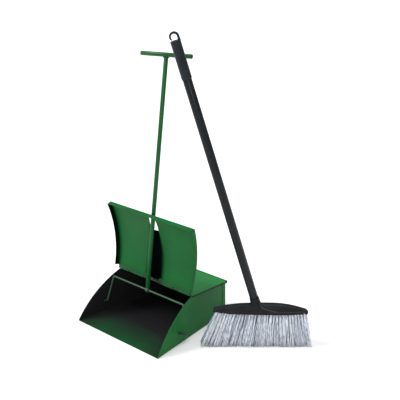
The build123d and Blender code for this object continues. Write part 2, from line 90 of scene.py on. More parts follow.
# ---------------------------------------------------------------- lid
LID_R = 278 * MM             # inner face of the curved lid
LID_CENTRE_Z = 198.9 * MM
LID_CENTRE_Y = LIP_Y - 133.8 * MM
LID_CENTRE = Vector((0, LID_CENTRE_Y, LID_CENTRE_Z))
LID_FOOT = LID_LOW.z
LID_TOP = LID_HIGH.z
LID_HALF_TOP = LID_HIGH.x
LID_HALF_FOOT = 134.3 * MM
FLANGE = 11 * MM
SLOT_HALF_FOOT = 20.5 * MM
SLOT_HALF_TOP = 12 * MM
SLOT_TOP = 289 * MM
CROWN = SLOT_TOP - SLOT_HALF_TOP      # where the hole starts to arch over
SHOULDER = 7 * MM            # the sheet curves gently into the recess
TOP_BEND = 0.9 * MM
TROUGH_STEPS = 28
HOLE_FOOT = HOOD_HIGH.z - 8 * MM
HOOD_BACK_FOOT = HOOD_HIGH.y - 0.6 * MM
HOOD_BACK_TOP = HOOD_BACK_FOOT - 8 * MM


# ================================================================ mesh helpers
def link(obj):
    bpy.context.scene.collection.objects.link(obj)
    return obj


def clamp(value):
    return min(1.0, max(0.0, value))


def ease(share):
    """Smooth step from 0 to 1."""
    return share * share * (3 - 2 * share)


def mesh_object(name, points, faces):
    """New smooth object from points and faces, with its normals turned outwards."""
    mesh = bpy.data.meshes.new(name)
    mesh.from_pydata([tuple(p) for p in points], [], faces)
    mesh.validate()
    skin = bmesh.new()
    skin.from_mesh(mesh)
    bmesh.ops.remove_doubles(skin, verts=skin.verts, dist=1e-6)
    bmesh.ops.recalc_face_normals(skin, faces=skin.faces)
    skin.to_mesh(mesh)
    skin.free()
    for polygon in mesh.polygons:
        polygon.use_smooth = True
    return link(bpy.data.objects.new(name, mesh))


def bridge(rows, closed=False, looped=False):
    """Faces between neighbouring rows: closed joins a row's ends, looped the last row to the first."""
    faces = []
    count = len(rows[0])
    for i in range(len(rows) if looped else len(rows) - 1):
        j = (i + 1) % len(rows)
        for k in range(count if closed else count - 1):
            n = (k + 1) % count
            faces.append((i * count + k, i * count + n, j * count + n, j * count + k))
    return faces


def skin_over(name, rows, closed=False, looped=False, capped=False):
    """New object over rows of points; capped fills the first and the last row."""
    count = len(rows[0])
    total = count * len(rows)
    faces = bridge(rows, closed, looped)
    if capped:
        faces += [tuple(range(count)), tuple(range(total - count, total))]
    return mesh_object(name, [p for row in rows for p in row], faces)


def ring_of(centre, first, second, radius, count):
    """Points evenly round a circle whose plane two unit vectors span."""
    turns = [2 * math.pi * k / count for k in range(count)]
    return [centre + (first * math.cos(t) + second * math.sin(t)) * radius for t in turns]


def apply_modifiers(obj):
    """Bake the piece's modifiers into its mesh."""
    graph = bpy.context.evaluated_depsgraph_get()
    graph.update()
    made = bpy.data.meshes.new_from_object(obj.evaluated_get(graph), depsgraph=graph)
    obj.modifiers.clear()
    obj.data = made


def combine(obj, operation, tool):
    """Cut another solid from the piece or join it to the piece; the other one is used up."""
    step = obj.modifiers.new("combine", "BOOLEAN")
    step.operation = operation
    step.object = tool
    step.solver = "EXACT"
    apply_modifiers(obj)
    bpy.data.objects.remove(tool)


def thicken(obj, thickness, offset=-1.0, rim=0):
    """Give a folded sheet its thickness; its far side takes the second material, its rim that of a slot."""
    obj.data.materials.append(None)
    obj.data.materials.append(None)
    solid = obj.modifiers.new("sheet", "SOLIDIFY")
    solid.thickness = thickness
    solid.offset = offset
    solid.use_even_offset = True
    solid.material_offset = 1
    solid.material_offset_rim = rim


def soften(obj, width, angle=35):
    """Round every sharp edge a little, so that it catches the light."""
    bevel = obj.modifiers.new("edges", "BEVEL")
    bevel.width = width
    bevel.segments = 2
    bevel.limit_method = "ANGLE"
    bevel.angle_limit = math.radians(angle)
    bevel.harden_normals = True


def smooth_by_angle(obj, angle):
    """Smooth shading, with a crease wherever two faces meet at more than the angle."""
    skin = bmesh.new()
    skin.from_mesh(obj.data)
    for edge in skin.edges:
        sharp = len(edge.link_faces) == 2 and edge.calc_face_angle(0) > math.radians(angle)
        edge.smooth = not sharp
    for face in skin.faces:
        face.smooth = True
    skin.to_mesh(obj.data)
    skin.free()


def face_outwards(obj, inside):
    """Turn an open sheet's normals away from a point on its inner side."""
    skin = bmesh.new()
    skin.from_mesh(obj.data)
    biggest = max(skin.faces, key=lambda f: f.calc_area())
    if biggest.normal.dot(biggest.calc_center_median() - inside) < 0:
        bmesh.ops.reverse_faces(skin, faces=skin.faces)
    skin.to_mesh(obj.data)
    skin.free()


def place(obj, body, slot, materials, *nodes):
    """Dress a finished piece and fix it to its body; nodes are the CAD pieces that it stands for."""
    while len(obj.data.materials) < len(materials):
        obj.data.materials.append(None)
    for index, material in enumerate(materials):
        obj.data.materials[index] = material
    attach(obj, body)
    if nodes:
        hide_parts(*nodes)
    return obj


def dress(node, material, width=0.0):
    """Give a CAD node its material, and round its edges where a width is given."""
    obj = frame["nodes"][node]
    obj.data.materials.clear()
    obj.data.materials.append(material)
    if width:
        weld = obj.modifiers.new("weld", "WELD")
        weld.merge_threshold = 1e-6
        soften(obj, width)


def frame_along(axis):
    """Two directions square to an axis."""
    axis = axis.normalized()
    side = Vector((1, 0, 0)) if abs(axis.x) < 0.9 else Vector((0, 1, 0))
    across = (side - axis * side.dot(axis)).normalized()
    return across, axis.cross(across)


def turned(name, origin, axis, profile, sides=64):
    """Closed solid of revolution; profile lists (distance along the axis, radius) in order."""
    across, up = frame_along(axis)
    axis = axis.normalized()
    rings = [ring_of(origin + axis * distance, across, up, radius, sides) for distance, radius in profile]
    return skin_over(name, rings, closed=True, looped=True)


def tube_profile(start, end, radius, wall, edge):
    """Profile of an open tube with rounded rims."""
    inner = radius - wall
    return [(start + edge, radius), (end - edge, radius), (end, radius - edge), (end, inner + edge),
            (end - edge, inner), (start + edge, inner), (start, inner + edge), (start, radius - edge)]


# ================================================================ materials
def feed(material, node, inputs):
    """Set a node's inputs; each is a plain value or a socket to link."""
    for name, value in inputs.items():
        if hasattr(value, "is_output"):
            material.node_tree.links.new(value, node.inputs[name])
        else:
            node.inputs[name].default_value = value


def add_node(material, kind, inputs, operation=None):
    """New node of a kind, with its inputs set."""
    node = material.node_tree.nodes.new("ShaderNode" + kind)
    if operation:
        node.operation = operation
    feed(material, node, inputs)
    return node


def new_material(name):
    """Material with its shader and its object coordinates."""
    material = bpy.data.materials.new(name)
    material.use_nodes = True
    material.node_tree.nodes.clear()
    shader = add_node(material, "BsdfPrincipled", {})
    add_node(material, "OutputMaterial", {"Surface": shader.outputs[0]})
    return material, shader, add_node(material, "TexCoord", {}).outputs["Object"]


def noise(material, where, scale, detail=3.0, rough=0.5, stretch=None):
    """Noise value at a place; stretch scales the place by axis."""
    if stretch:
        where = add_node(material, "Mapping", {"Vector": where, "Scale": stretch}).outputs["Vector"]
    inputs = {"Vector": where, "Scale": scale, "Detail": detail, "Roughness": rough}
    return add_node(material, "TexNoise", inputs).outputs["Fac"]


def spread(material, value, low, high, from_low=0.3, from_high=0.7):
    """Remap a value to another range."""
    inputs = {"Value": value, "From Min": from_low, "From Max": from_high, "To Min": low, "To Max": high}
    return add_node(material, "MapRange", inputs).outputs["Result"]


def blend_colors(material, factor, first, second):
    """Mix two colours; each is a colour or a socket."""
    node = material.node_tree.nodes.new("ShaderNodeMix")
    node.data_type = "RGBA"
    sockets = {s.name: index for index, s in enumerate(node.inputs) if s.type == "RGBA"}
    colours = [c if hasattr(c, "is_output") else (*c, 1) for c in (first, second)]
    feed(material, node, {sockets["A"]: colours[0], sockets["B"]: colours[1], "Factor": factor})
    return [s for s in node.outputs if s.type == "RGBA"][0]


def multiply(material, first, second):
    return add_node(material, "Math", {0: first, 1: second}, "MULTIPLY").outputs[0]


def bump(material, shader, height, strength, distance):
    """Roughen a shader's surface by a height."""
    node = add_node(material, "Bump", {"Height": height, "Strength": strength, "Distance": distance})
    feed(material, shader, {"Normal": node.outputs["Normal"]})


def axis_value(material, where, axis):
    return add_node(material, "SeparateXYZ", {"Vector": where}).outputs[axis]


def off_middle(material, where):
    """Distance to either side of the middle, whatever the side."""
    return add_node(material, "Math", {0: axis_value(material, where, "X")}, "ABSOLUTE").outputs[0]


def attribute(material, name):
    """Value stored on the piece's points."""
    node = add_node(material, "Attribute", {})
    node.attribute_name = name
    return node.outputs["Fac"]


def repaint(material, factor, colour):
    """Lay a colour over a finished material where the factor says; returns the shader."""
    shader = [n for n in material.node_tree.nodes if n.type == "BSDF_PRINCIPLED"][0]
    tone = shader.inputs["Base Color"].links[0].from_socket
    feed(material, shader, {"Base Color": blend_colors(material, factor, tone, colour)})
    return shader


SHINE = 0.09
COAT = 0.015


def enamel(name, colour, worn, gloss=0.3, peel=0.12, shine=SHINE):
    """Sprayed enamel: uneven film, orange peel, dust specks and a slightly thinner film here and there."""
    material, shader, where = new_material(name)
    film = spread(material, noise(material, where, 9, 4), 0, 1, 0.35, 0.68)
    tone = blend_colors(material, film, colour, [c * 1.22 for c in colour])
    specks = spread(material, noise(material, where, 420, 2), 0, 0.55, 0.66, 0.78)
    smears = noise(material, where, 26, 5, 0.6, (1, 1, 0.35))
    feed(material, shader, {"Base Color": blend_colors(material, specks, tone, worn),
                            "Roughness": spread(material, smears, gloss - 0.05, gloss + 0.14),
                            "Specular IOR Level": shine, "IOR": 1.5,
                            "Coat Weight": COAT, "Coat Roughness": 0.12})
    bump(material, shader, noise(material, where, 330, 2), peel, 0.0004)
    return material


def pan_inside(name, colour, deep):
    """Inside of the pan: green near the lip and the floor's middle, with painted shade that goes near black
    away from them.
    """
    material, shader, where = new_material(name)
    # painted shade: the green is kept near the lip, low on the floor and near the middle, and goes dark
    # elsewhere
    reach = spread(material, axis_value(material, where, "Y"), 0.95, 0.0, LIP_Y, LIP_Y + 95 * MM)
    low = spread(material, axis_value(material, where, "Z"), 1.0, 0.0, 2 * MM, 14 * MM)
    across = spread(material, off_middle(material, where), 1.0, 0.2, 70 * MM, 140 * MM)
    uneven = spread(material, noise(material, where, 16, 4), 0.8, 1.1)
    share = multiply(material, multiply(material, reach, low), multiply(material, across, uneven))
    scuffs = noise(material, where, 60, 5, 0.65, (0.25, 1, 1))
    feed(material, shader, {"Base Color": blend_colors(material, share, deep, colour),
                            "Roughness": spread(material, scuffs, 0.42, 0.68), "Specular IOR Level": 0.1})
    bump(material, shader, noise(material, where, 300, 3), 0.15, 0.0004)
    return material


def recess_enamel(name, colour, worn, deep):
    """The lid's enamel, dark and dull with painted shade inside the pressed recess."""
    material = enamel(name, colour, worn)
    # the recess attribute holds the painted shade
    inside = attribute(material, "recess")
    shader = repaint(material, inside, deep)
    feed(material, shader, {socket: spread(material, inside, outside, 0.0, 0.0, 0.6)
                            for socket, outside in (("Specular IOR Level", SHINE), ("Coat Weight", COAT))})
    return material


def black_plastic(name, colour, gloss, grain, sheen):
    """Moulded black plastic with a fine grain and faint handling marks, whose paler patches are also a
    painted sheen.
    """
    material, shader, where = new_material(name)
    # random handling marks, mixed towards the sheen colour as a painted sheen
    marks_and_sheen = spread(material, noise(material, where, 34, 5, 0.6), 0, 0.5, 0.45, 0.8)
    rub = noise(material, where, 80, 4, 0.6)
    feed(material, shader, {"Base Color": blend_colors(material, marks_and_sheen, colour, sheen),
                            "Roughness": spread(material, rub, gloss - 0.06, gloss + 0.12),
                            "Specular IOR Level": 0.16})
    bump(material, shader, noise(material, where, 900, 2), grain, 0.0003)
    return material


def head_plastic():
    """Black moulding with a painted highlight along its raised edges."""
    material = black_plastic("head_black_plastic", (0.005, 0.0055, 0.0065), 0.42, 0.1, (0.018, 0.02, 0.023))
    # pales the marked edges: painted highlight
    repaint(material, attribute(material, "edge"), (0.085, 0.092, 0.1))
    return material


def bare_steel(name, dark, light, metallic):
    """Drawn steel wire, brushed along X."""
    material, shader, where = new_material(name)
    brushed = noise(material, where, 500, 3, 0.5, (0.05, 1, 1))
    feed(material, shader, {"Base Color": blend_colors(material, brushed, dark, light),
                            "Roughness": spread(material, brushed, 0.28, 0.5), "Metallic": metallic})
    return material


def wire_enamel():
    """Worn enamel on the bow, darker on its ends outside the walls."""
    material = enamel("wire_green_enamel", (0.035, 0.085, 0.045), (0.1, 0.16, 0.1), 0.38, 0.2, 0.3)
    where = [n for n in material.node_tree.nodes if n.type == "TEX_COORD"][0].outputs["Object"]
    outside = spread(material, off_middle(material, where), 0.0, 0.93, 130 * MM, 134 * MM)
    repaint(material, outside, (0.004, 0.006, 0.005))
    return material


def bristle_fibre():
    """Flagged plastic fibre, pale with grey-blue and dark strands mixed in; tone varies by strand; dark
    dashes along it are painted shade.
    """
    material, shader, where = new_material("bristle_fibre")
    stops = ((0.0, (0.03, 0.04, 0.065)), (0.14, (0.13, 0.165, 0.23)), (0.3, (0.52, 0.59, 0.72)),
             (0.6, (0.8, 0.87, 0.98)), (1.0, (0.93, 0.96, 1.0)))
    ramp = add_node(material, "ValToRGB", {"Fac": attribute(material, "tone")})
    elements = ramp.color_ramp.elements
    while len(elements) < len(stops):
        elements.new(0.5)
    for element, (position, colour) in zip(elements, stops):
        element.position = position
        element.color = (*colour, 1)
    streaks = noise(material, where, 330, 2, 0.55, (1, 1, 0.28))
    # painted shade: dark dashes that stand in for the shading along crimped fibres
    dash_shade = spread(material, streaks, 0.0, 0.6, 0.48, 0.68)
    feed(material, shader, {"Base Color": blend_colors(material, dash_shade, ramp.outputs[0], (0.1, 0.125, 0.17)),
                            "Roughness": spread(material, streaks, 0.4, 0.62), "Sheen Weight": 0.15})
    return material


GREEN = (0.006, 0.096, 0.02)
GREEN_WORN = (0.022, 0.14, 0.045)
PAN_GREEN = enamel("pan_green_enamel", GREEN, GREEN_WORN)
# lid green, with near black painted shade in the recess
LID_GREEN_PAINTED_SHADE = recess_enamel("lid_green_painted_shade", (0.006, 0.096, 0.021), GREEN_WORN, (0.002, 0.0025, 0.0028))
# a lighter copy of the pan's green: painted light on the cover, which faces up
COVER_GREEN_PAINTED_LIGHT = enamel("cover_green_painted_light", (0.014, 0.155, 0.036), (0.03, 0.2, 0.06))
# inside of the pan, with its painted shade
PAINTED_SHADE_INSIDE = pan_inside("pan_inside_painted_shade", (0.006, 0.062, 0.018), (0.013, 0.013, 0.0145))
ROD_GREEN = enamel("rod_green_enamel", (0.008, 0.085, 0.02), GREEN_WORN, 0.3, 0.12, 0.2)
HINGE_GREEN = enamel("hinge_green_enamel", (0.012, 0.075, 0.024), (0.07, 0.14, 0.08), 0.42, 0.2)
WIRE_GREEN = wire_enamel()
STEEL = bare_steel("drawn_steel", (0.25, 0.25, 0.24), (0.5, 0.49, 0.47), 1.0)
PIN_STEEL = bare_steel("tarnished_steel", (0.012, 0.008, 0.007), (0.045, 0.024, 0.018), 0.5)
HEAD_BLACK = head_plastic()
STICK_BLACK = black_plastic("stick_black_coating", (0.009, 0.0112, 0.0135), 0.3, 0.08,
                            (0.022, 0.026, 0.031))
GRIP_BLACK = black_plastic("grip_black_plastic", (0.011, 0.014, 0.019), 0.4, 0.25, (0.03, 0.036, 0.046))
FIBRE = bristle_fibre()


# ================================================================ pan
def wall_top(back):
    """Height of a side wall's edge at a distance behind the lip."""
    if back >= MOUTH_BACK:
        return MOUTH_HEIGHT - (back - MOUTH_BACK) * TOP_SLOPE
    chord = Vector((MOUTH_BACK, MOUTH_HEIGHT - LIP_RISE))
    radius = (chord.length_squared / 4 + WALL_BULGE ** 2) / (2 * WALL_BULGE)
    outward = Vector((-chord.y, chord.x)).normalized()
    centre = Vector((0, LIP_RISE)) + chord / 2 - outward * (radius - WALL_BULGE)
    return centre.y + math.sqrt(radius ** 2 - (back - centre.x) ** 2)


def half_at(back):
    """Half the pan's outer width at a distance behind the lip."""
    return LIP_HALF + (REAR_HALF - LIP_HALF) * back / (REAR_Y - LIP_Y)


def fold(centre_x, centre_z, radius, start, end, steps=4):
    """Points (x, z) round a fold, angles in degrees."""
    points = []
    for k in range(steps + 1):
        turn = math.radians(start + (end - start) * k / steps)
        points.append((centre_x + radius * math.cos(turn), centre_z + radius * math.sin(turn)))
    return points


def tub_section(back, rows=14):
    """Outline (x, z) of the folded sheet across the pan, from the left wall's edge to the right's."""
    half = half_at(back)
    top = wall_top(back)
    radius = min(FOLD_R, top * 0.6)
    left = [(-half, top + (radius - top) * k / rows) for k in range(rows)]
    corner = fold(radius - half, radius, radius, 180, 270)
    flat = [((radius - half) * (1 - k / 20) + (half - radius) * k / 20, 0) for k in range(1, 20)]
    right = [(-x, z) for x, z in reversed(left + corner)]
    return left + corner + flat + right


def pan_tub():
    """Floor and side walls folded from one sheet, with holes for the bail."""
    stations = 72
    rows = []
    for j in range(stations + 1):
        back = (REAR_Y - LIP_Y - SHEET) * (j / stations) ** 1.25
        rows.append([(x, LIP_Y + back, z) for x, z in tub_section(back)])
    tub = skin_over("pan_tub", rows)
    face_outwards(tub, PAN_INSIDE)
    thicken(tub, SHEET)
    apply_modifiers(tub)
    reach, hole_r = 0.2, 2.5 * MM
    combine(tub, "DIFFERENCE", turned("bail_holes", BAIL_PIVOT - Vector((reach, 0, 0)), Vector((1, 0, 0)),
                                      [(0, 0.0), (0, hole_r), (2 * reach, hole_r), (2 * reach, 0.0)], 32))
    soften(tub, 0.3 * MM, 50)
    apply_modifiers(tub)
    smooth_by_angle(tub, 40)
    # the inner faces take the inside material with its painted shade
    return place(tub, "pan", "pan_enamel", [PAN_GREEN, PAINTED_SHADE_INSIDE], "floor_sheet", "left_side_wall",
                 "right_side_wall")


def pan_rear():
    """Rear wall whose ends wrap round the corners and are spot-welded to the side walls."""
    wrap = 13 * MM
    bend = 3 * MM
    skin = 0.8 * MM
    slant = math.atan2(LIP_HALF - REAR_HALF, REAR_Y - LIP_Y)
    half = REAR_HALF + skin
    outline = []
    for k in range(7):
        reach = wrap * (1 - k / 6) + bend
        outline.append((half + math.sin(slant) * reach, REAR_Y - reach * math.cos(slant)))
    for k in range(1, 6):
        turn = math.radians(90 * k / 6)
        outline.append((half - bend + bend * math.cos(turn), REAR_Y - bend + bend * math.sin(turn)))
    outline.append((half - bend, REAR_Y))
    across = [((half - bend) * (1 - 2 * k / 24), REAR_Y) for k in range(1, 24)]
    outline = outline + across + [(-x, y) for x, y in reversed(outline)]
    levels, foot = 20, 0.6 * MM
    rows = [[] for _ in range(levels + 1)]
    for x, y in outline:
        top = wall_top(min(y, REAR_Y) - LIP_Y) - 0.2 * MM
        for i, row in enumerate(rows):
            row.append((x, y, foot + (top - foot) * i / levels))
    rear = skin_over("pan_rear_wall", rows)
    face_outwards(rear, PAN_INSIDE)
    thicken(rear, skin)
    soften(rear, 0.25 * MM, 50)
    apply_modifiers(rear)
    smooth_by_angle(rear, 40)
    # the inner faces take the inside material with its painted shade
    return place(rear, "pan", "pan_enamel", [PAN_GREEN, PAINTED_SHADE_INSIDE], "rear_wall")


def pan_cover():
    """Sloping cover with turned-down sides, rolled round a stiffening wire at the rear."""
    axis_y, axis_z = ROLL_MIDDLE.y, ROLL_MIDDLE.z
    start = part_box("top_plate")[0].y
    lift = 0.15 * MM
    stations = []
    for k in range(13):
        y = start + (axis_y - ROLL_R * 0.35 - start) * k / 12
        z = MOUTH_HEIGHT + SHEET + lift - (y - LIP_Y - MOUTH_BACK) * TOP_SLOPE
        stations.append((y, z))
    first = math.degrees(math.atan2(stations[-1][1] - axis_z, stations[-1][0] - axis_y))
    for k in range(1, 15):
        turn = math.radians(first - (first + 200) * k / 14)
        stations.append((axis_y + ROLL_R * math.cos(turn), axis_z + ROLL_R * math.sin(turn)))
    rows = []
    flap, bend = 3.2 * MM, 0.9 * MM
    for index, (y, z) in enumerate(stations):
        half = half_at(min(y, REAR_Y) - LIP_Y) + 1.3 * MM
        side = [(half - bend, z)] * 5
        if index < 12:
            side = [(half, z - bend - flap), (half, z - bend - flap / 2), (half, z - bend),
                    (half - 0.25 * MM, z - 0.25 * MM), (half - bend, z)]
        across = [((half - bend) * (1 - 2 * k / 16), z) for k in range(1, 16)]
        row = side + across + [(-x, h) for x, h in reversed(side)]
        rows.append([(x, y, h) for x, h in row])
    cover = skin_over("pan_cover", rows)
    face_outwards(cover, PAN_INSIDE)
    thicken(cover, SHEET * 0.8)
    soften(cover, 0.22 * MM, 60)
    apply_modifiers(cover)
    smooth_by_angle(cover, 45)
    # painted shadow: the flap's outer faces take the dark inside material, giving a dark line along the top
    # of the walls
    for polygon in cover.data.polygons:
        if abs(polygon.normal.x) > 0.9 and abs(polygon.center.x) > half_at(polygon.center.y - LIP_Y):
            polygon.material_index = 1
    return place(cover, "pan", "pan_enamel", [COVER_GREEN_PAINTED_LIGHT, PAINTED_SHADE_INSIDE], "top_plate")


def roll_wire():
    """Stiffening wire inside the rolled edge; its ends show as small knobs."""
    radius = ROLL_R - 0.9 * MM
    length = ROLL_HIGH.x - ROLL_LOW.x
    edge, slight = 0.8 * MM, 0.25 * MM
    ends = [(0.0, 0.0), (0.0, radius - edge), (slight, radius - slight), (edge, radius),
            (length - edge, radius), (length - slight, radius - slight), (length, radius - edge),
            (length, 0.0)]
    start = Vector((ROLL_LOW.x, ROLL_MIDDLE.y, ROLL_MIDDLE.z))
    wire = turned("roll_wire", start, Vector((1, 0, 0)), ends, 32)
    smooth_by_angle(wire, 50)
    # the wire takes the inside material, near black with its painted shade
    return place(wire, "pan", "pan_enamel", [PAINTED_SHADE_INSIDE], "rear_roll")


# ================================================================ lid
def lid_y(z):
    """Place of the lid's inner face, front to back, at a height."""
    return LID_CENTRE_Y + math.sqrt(LID_R ** 2 - (z - LID_CENTRE_Z) ** 2)


def lid_half(z):
    """Half width of the lid at a height."""
    share = (z - LID_FOOT) / (LID_TOP - LID_FOOT)
    return LID_HALF_FOOT + (LID_HALF_TOP - LID_HALF_FOOT) * share


def slot_half(z):
    """Half width of the pressed recess and of the rod's hole above it."""
    share = (z - LID_FOOT) / (CROWN - LID_FOOT)
    return SLOT_HALF_FOOT + (SLOT_HALF_TOP - SLOT_HALF_FOOT) * min(share, 1.0)


def recess_depth(z):
    """How far the recess stands out behind the lid."""
    share = clamp((z - LID_FOOT) / (HOLE_FOOT - LID_FOOT))
    back = HOOD_BACK_FOOT + (HOOD_BACK_TOP - HOOD_BACK_FOOT) * share
    return back - lid_y(z)


def lid_point(x, z, depth=0.0):
    """Point on the lid's inner face, or behind it by a depth, square to the sheet."""
    out = Vector((0, lid_y(z) - LID_CENTRE_Y, z - LID_CENTRE_Z)).normalized()
    return Vector((x, lid_y(z), z)) + out * depth


def lid_columns(z):
    """Places across half the lid: (x, flange depth, None), and across the hole: (x, 0, step round it)."""
    half = lid_half(z) - SHEET
    slot = slot_half(z)
    bend = 1.8 * MM
    outer = [(half, (FLANGE - bend) * (1 - k / 4) + bend, None) for k in range(5)]
    for k in range(1, 4):
        turn = math.radians(90 * k / 4)
        outer.append((half - bend * (1 - math.cos(turn)), bend * (1 - math.sin(turn)), None))
    plain = 26
    for k in range(plain + 1):
        share = 1 - (1 - k / plain) ** 1.6
        outer.append((half - bend + (slot + SHOULDER - half + bend) * share, 0.0, None))
    outer += [(slot + SHOULDER * (1 - k / 6), 0.0, None) for k in range(1, 7)]
    inner = [(slot * math.cos(math.pi * k / TROUGH_STEPS), 0.0, k) for k in range(1, TROUGH_STEPS)]
    return outer, inner


def recess_profile(x, slot):
    """Share of the recess's depth at a place across it, with a rounded shoulder."""
    offset = abs(x)
    lip = 0.17
    if offset >= slot + SHOULDER:
        return 0.0
    if offset >= slot:
        return lip * ((slot + SHOULDER - offset) / SHOULDER) ** 2
    inside = math.sqrt(max(0.0, 1 - (offset / slot) ** 2))
    return lip + (1 - lip) * inside ** 0.8


def shade_of_recess(x, z, slot):
    """Painted shade: full inside the recess, fading out over its shoulder, deeper lower down."""
    if z > HOLE_FOOT + 14 * MM:
        return 0.0
    low = clamp((HOLE_FOOT + 8 * MM - z) / (60 * MM))
    reach = SHOULDER * (0.7 + 1.9 * low)
    fade = clamp((HOLE_FOOT + 10 * MM - z) / (10 * MM))
    return ease(clamp(1 - (abs(x) - slot + 1.0 * MM) / reach)) * fade


def shade_of_corner(x, z):
    """Painted shade in the fold of a side flange; the left one is the deeper."""
    corner = clamp((abs(x) - lid_half(z) + 4.5 * MM) / (2.2 * MM))
    return corner * (0.93 if x < 0 else 0.5)


def lid_heights():
    """Heights of the lid's rows: below the hole, beside it, and above it."""
    below = [LID_FOOT + (HOLE_FOOT - LID_FOOT) * k / 54 for k in range(55)]
    beside = [HOLE_FOOT + (CROWN - HOLE_FOOT) * k / 10 for k in range(1, 11)]
    above = [CROWN + (LID_TOP - TOP_BEND - CROWN) * k / 6 for k in range(1, 7)]
    return below + beside + above


def lid_row(z):
    """Points across the lid at a height, and the painted shade at each."""
    outer, inner = lid_columns(z)
    slot = slot_half(z)
    top = LID_TOP - TOP_BEND
    row, shades = [], []
    for x, flange, k in outer + inner + [(-x, flange, k) for x, flange, k in reversed(outer)]:
        height = z
        depth = recess_depth(min(z, HOLE_FOOT)) * recess_profile(x, slot)
        if z > HOLE_FOOT:
            depth *= clamp((CROWN + 4 * MM - z) / (24 * MM)) if k is None else 0.0
        if k is not None and z >= CROWN:
            arch = CROWN + SLOT_HALF_TOP * math.sin(math.pi * k / TROUGH_STEPS)
            height = arch + (top - arch) * (z - CROWN) / (top - CROWN)
        row.append(lid_point(x, height, depth - flange))
        shades.append(max(shade_of_recess(x, z, slot), shade_of_corner(x, z)))
    return row, shades


def top_fold(last_row):
    """Rows that turn the lid's top edge forward into a flange, and their painted shade: dark over the bend
    and most of the flange, with a negative value at its hem meant to pale it as a painted highlight.
    """
    out = Vector((0, lid_y(LID_TOP) - LID_CENTRE_Y, LID_TOP - LID_CENTRE_Z)).normalized()
    rows, shades = [], []
    for k in range(1, 10):
        turn = math.radians(90 * min(k, 4) / 4)
        inward = TOP_BEND * (1 - math.cos(turn)) + max(0, k - 4) * (FLANGE - TOP_BEND) / 5
        z = LID_TOP - TOP_BEND + TOP_BEND * math.sin(turn)
        rows.append([Vector((point.x, lid_y(z), z)) - out * inward for point in last_row])
        # 0.3 is painted shade on the flange; -0.6 at the hem is meant as a painted highlight
        shades.append([0.3 if k < 8 else -0.6] * len(last_row))
    return rows, shades


def lid_faces(heights, rows):
    """Faces of the lid, left out in the rod's hole and at the notches beside the top flange."""
    count = len(rows[0])
    to_hole = len(lid_columns(LID_FOOT)[0])
    hole = range(to_hole - 1, count - to_hole)
    notch = 8
    faces = []
    for i in range(len(rows) - 1):
        low = heights[i] if i < len(heights) else LID_TOP
        beside_hole = HOLE_FOOT - 1e-6 <= low < CROWN - 1e-6
        in_fold = i >= len(heights) - 1
        for k in range(count - 1):
            if beside_hole and k in hole or in_fold and (k < notch - 1 or k >= count - notch):
                continue
            faces.append((i * count + k, i * count + k + 1, (i + 1) * count + k + 1, (i + 1) * count + k))
    return faces


def lid_sheet():
    """Curved lid with turned edges, a rod hole and a pressed recess below it."""
    heights = lid_heights()
    rows, shades = [list(part) for part in zip(*[lid_row(z) for z in heights])]
    fold_rows, fold_shades = top_fold(rows[-1])
    rows += fold_rows
    shades += fold_shades
    mesh = bpy.data.meshes.new("lid_sheet")
    mesh.from_pydata([tuple(p) for row in rows for p in row], [], lid_faces(heights, rows))
    # painted shade of the recess, the flange folds and the top bend
    recess = mesh.attributes.new("recess", "FLOAT", "POINT")
    recess.data.foreach_set("value", [shade for row in shades for shade in row])
    skin = bmesh.new()
    skin.from_mesh(mesh)
    bmesh.ops.delete(skin, geom=[v for v in skin.verts if not v.link_faces], context="VERTS")
    bmesh.ops.recalc_face_normals(skin, faces=skin.faces)
    skin.to_mesh(mesh)
    skin.free()
    lid = link(bpy.data.objects.new("lid_sheet", mesh))
    face_outwards(lid, LID_CENTRE)
    thicken(lid, SHEET, 1.0)
    soften(lid, 0.3 * MM, 60)
    apply_modifiers(lid)
    smooth_by_angle(lid, 50)
    return place(lid, "lid", "lid_enamel", [PAN_GREEN, LID_GREEN_PAINTED_SHADE], "lid_panel", "lid_hood")


def recess_floor():
    """Closed foot of the recess, in full painted shade."""
    slot = slot_half(LID_FOOT)
    depth = recess_depth(LID_FOOT)
    rows = []
    for i in range(9):
        shrink = 1 - i / 8
        row = []
        for k in range(TROUGH_STEPS + 1):
            x = slot * math.cos(math.pi * k / TROUGH_STEPS)
            share = recess_profile(x, slot)
            row.append(lid_point(x * (0.02 + 0.98 * shrink), LID_FOOT + 0.4 * MM, depth * share * shrink))
        rows.append(row)
    foot = skin_over("lid_recess_foot", rows)
    # the whole foot is in painted shade
    recess = foot.data.attributes.new("recess", "FLOAT", "POINT")
    recess.data.foreach_set("value", [1.0] * len(foot.data.vertices))
    face_outwards(foot, LID_CENTRE)
    thicken(foot, SHEET, 0.0, rim=1)
    apply_modifiers(foot)
    smooth_by_angle(foot, 50)
    return place(foot, "lid", "lid_enamel", [PAN_GREEN, LID_GREEN_PAINTED_SHADE])


# ================================================================ bail and T handle
def bail():
    """Wire bow: crossbar, arms, and an end through each side wall with a tail outside it."""
    radius = 2.25 * MM
    tail_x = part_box("bail_wire")[1].x - radius
    arm_x = 127 * MM
    drop = math.radians(31.7)
    reach = 33 * MM
    half = [Vector((tail_x, BAIL_PIVOT.y + reach * math.cos(drop), BAIL_PIVOT.z - reach * math.sin(drop))),
            Vector((tail_x, BAIL_PIVOT.y, BAIL_PIVOT.z)), Vector((arm_x, BAIL_PIVOT.y, BAIL_PIVOT.z)),
            Vector((arm_x, CROSSBAR.y, CROSSBAR.z))]
    corners = half + [Vector((-p.x, p.y, p.z)) for p in reversed(half)]
    wire = sweep_round("bail_bow", rounded(corners, 4 * MM), radius, 20)
    return place(wire, "bail", "wire_enamel", [WIRE_GREEN], "bail_wire")


